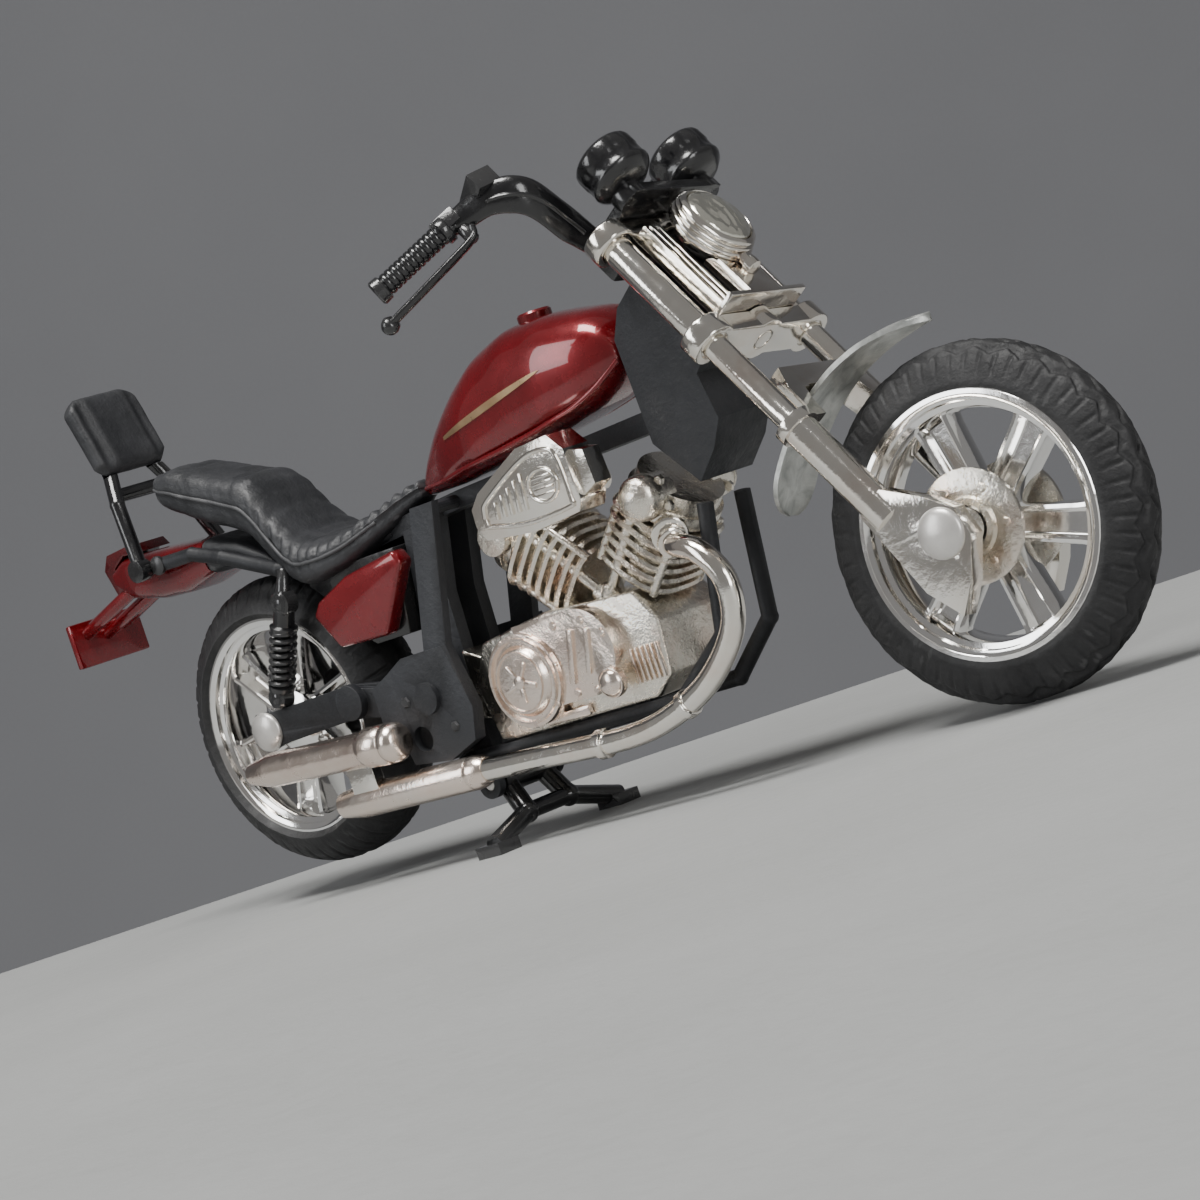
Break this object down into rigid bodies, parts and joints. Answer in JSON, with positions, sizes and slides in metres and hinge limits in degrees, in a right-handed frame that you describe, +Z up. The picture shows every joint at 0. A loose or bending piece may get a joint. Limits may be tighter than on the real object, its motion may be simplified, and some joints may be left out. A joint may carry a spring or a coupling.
{
  "type": "toy motorcycle",
  "caption": "Small free-rolling toy cruiser motorcycle with turning wheels, steering fork and fold-up centre stand, standing at rest on its stand.",
  "frame": {"origin": "middle of the bounding box's base, on the ground the toy stands on", "axes": "+X forward along the frame, +Y to the rider's left, +Z up"},
  "size_m": [0.1263, 0.04, 0.0572],
  "materials": {
    "frame_black": "matt",
    "gloss_black": "gloss",
    "candy_red": "gloss",
    "seat_grey": "satin",
    "tyre": "matt",
    "chrome": "polished",
    "silver_paint": "satin",
    "axle_steel": "satin",
    "dark_metal": "satin"
  },
  "bodies": {
    "machine": {"frame": "frame_black", "head_tube": "frame_black", "side_plate_right": "frame_black", "side_plate_left": "frame_black", "swingarm": "frame_black", "shock_right": "gloss_black", "shock_left": "gloss_black", "rear_fender": "candy_red", "plate_holder": "candy_red", "tail_lamp": "candy_red", "seat": "seat_grey", "backrest": "seat_grey", "sissy_bar": "gloss_black", "side_cover_right": "candy_red", "side_cover_left": "candy_red", "battery_box": "gloss_black", "tank": "candy_red", "tank_cap": "chrome", "crankcase": "chrome", "right_cover": "chrome", "left_cover": "chrome", "rear_cylinder": "chrome", "rear_head": "chrome", "front_cylinder": "chrome", "front_head": "chrome", "air_cleaner": "chrome", "header_pipe": "chrome", "muffler_lower": "chrome", "muffler_upper": "chrome", "muffler_tab": "chrome", "rear_axle": "axle_steel", "stand_pin": "axle_steel"},
    "front_fork": {"fork_leg_right": "chrome", "fork_leg_left": "chrome", "upper_clamp": "chrome", "lower_clamp": "chrome", "steering_stem": "chrome", "fork_bridge": "chrome", "front_fender": "silver_paint", "headlight_shell": "chrome", "headlight_lens": "chrome", "headlight_bracket": "chrome", "gauge_bracket": "gloss_black", "gauge_right": "gloss_black", "gauge_left": "gloss_black", "handlebar": "gloss_black", "grip_right": "gloss_black", "grip_left": "gloss_black", "lever_right": "gloss_black", "lever_left": "gloss_black", "master_cylinder": "gloss_black", "front_axle": "axle_steel"},
    "front_wheel": {"front_tyre": "tyre", "front_rim": "chrome", "front_disc": "dark_metal"},
    "rear_wheel": {"rear_tyre": "tyre", "rear_rim": "chrome", "rear_drum": "dark_metal"},
    "stand": {"centre_stand": "gloss_black"}
  },
  "joints": [
    {"name": "steering", "type": "hinge", "parent": "machine", "child": "front_fork", "pos_m": [0.02769, 0.00184, 0.0414], "axis": [-0.5483, 0, 0.8363], "range_deg": [-33, 17]},
    {"name": "front_wheel_spin", "type": "hinge", "parent": "front_fork", "child": "front_wheel", "pos_m": [0.04797, 0.0022, 0.01524], "axis": [-0.1164, 0.9903, -0.0763], "continuous": true},
    {"name": "rear_wheel_spin", "type": "hinge", "parent": "machine", "child": "rear_wheel", "pos_m": [-0.03721, 0.00184, 0.0168], "axis": [0, 1, 0], "continuous": true},
    {"name": "stand_fold", "type": "hinge", "parent": "machine", "child": "stand", "pos_m": [-0.01261, 0.00184, 0.006], "axis": [0, 1, 0], "range_deg": [0, 80]}
  ]
}
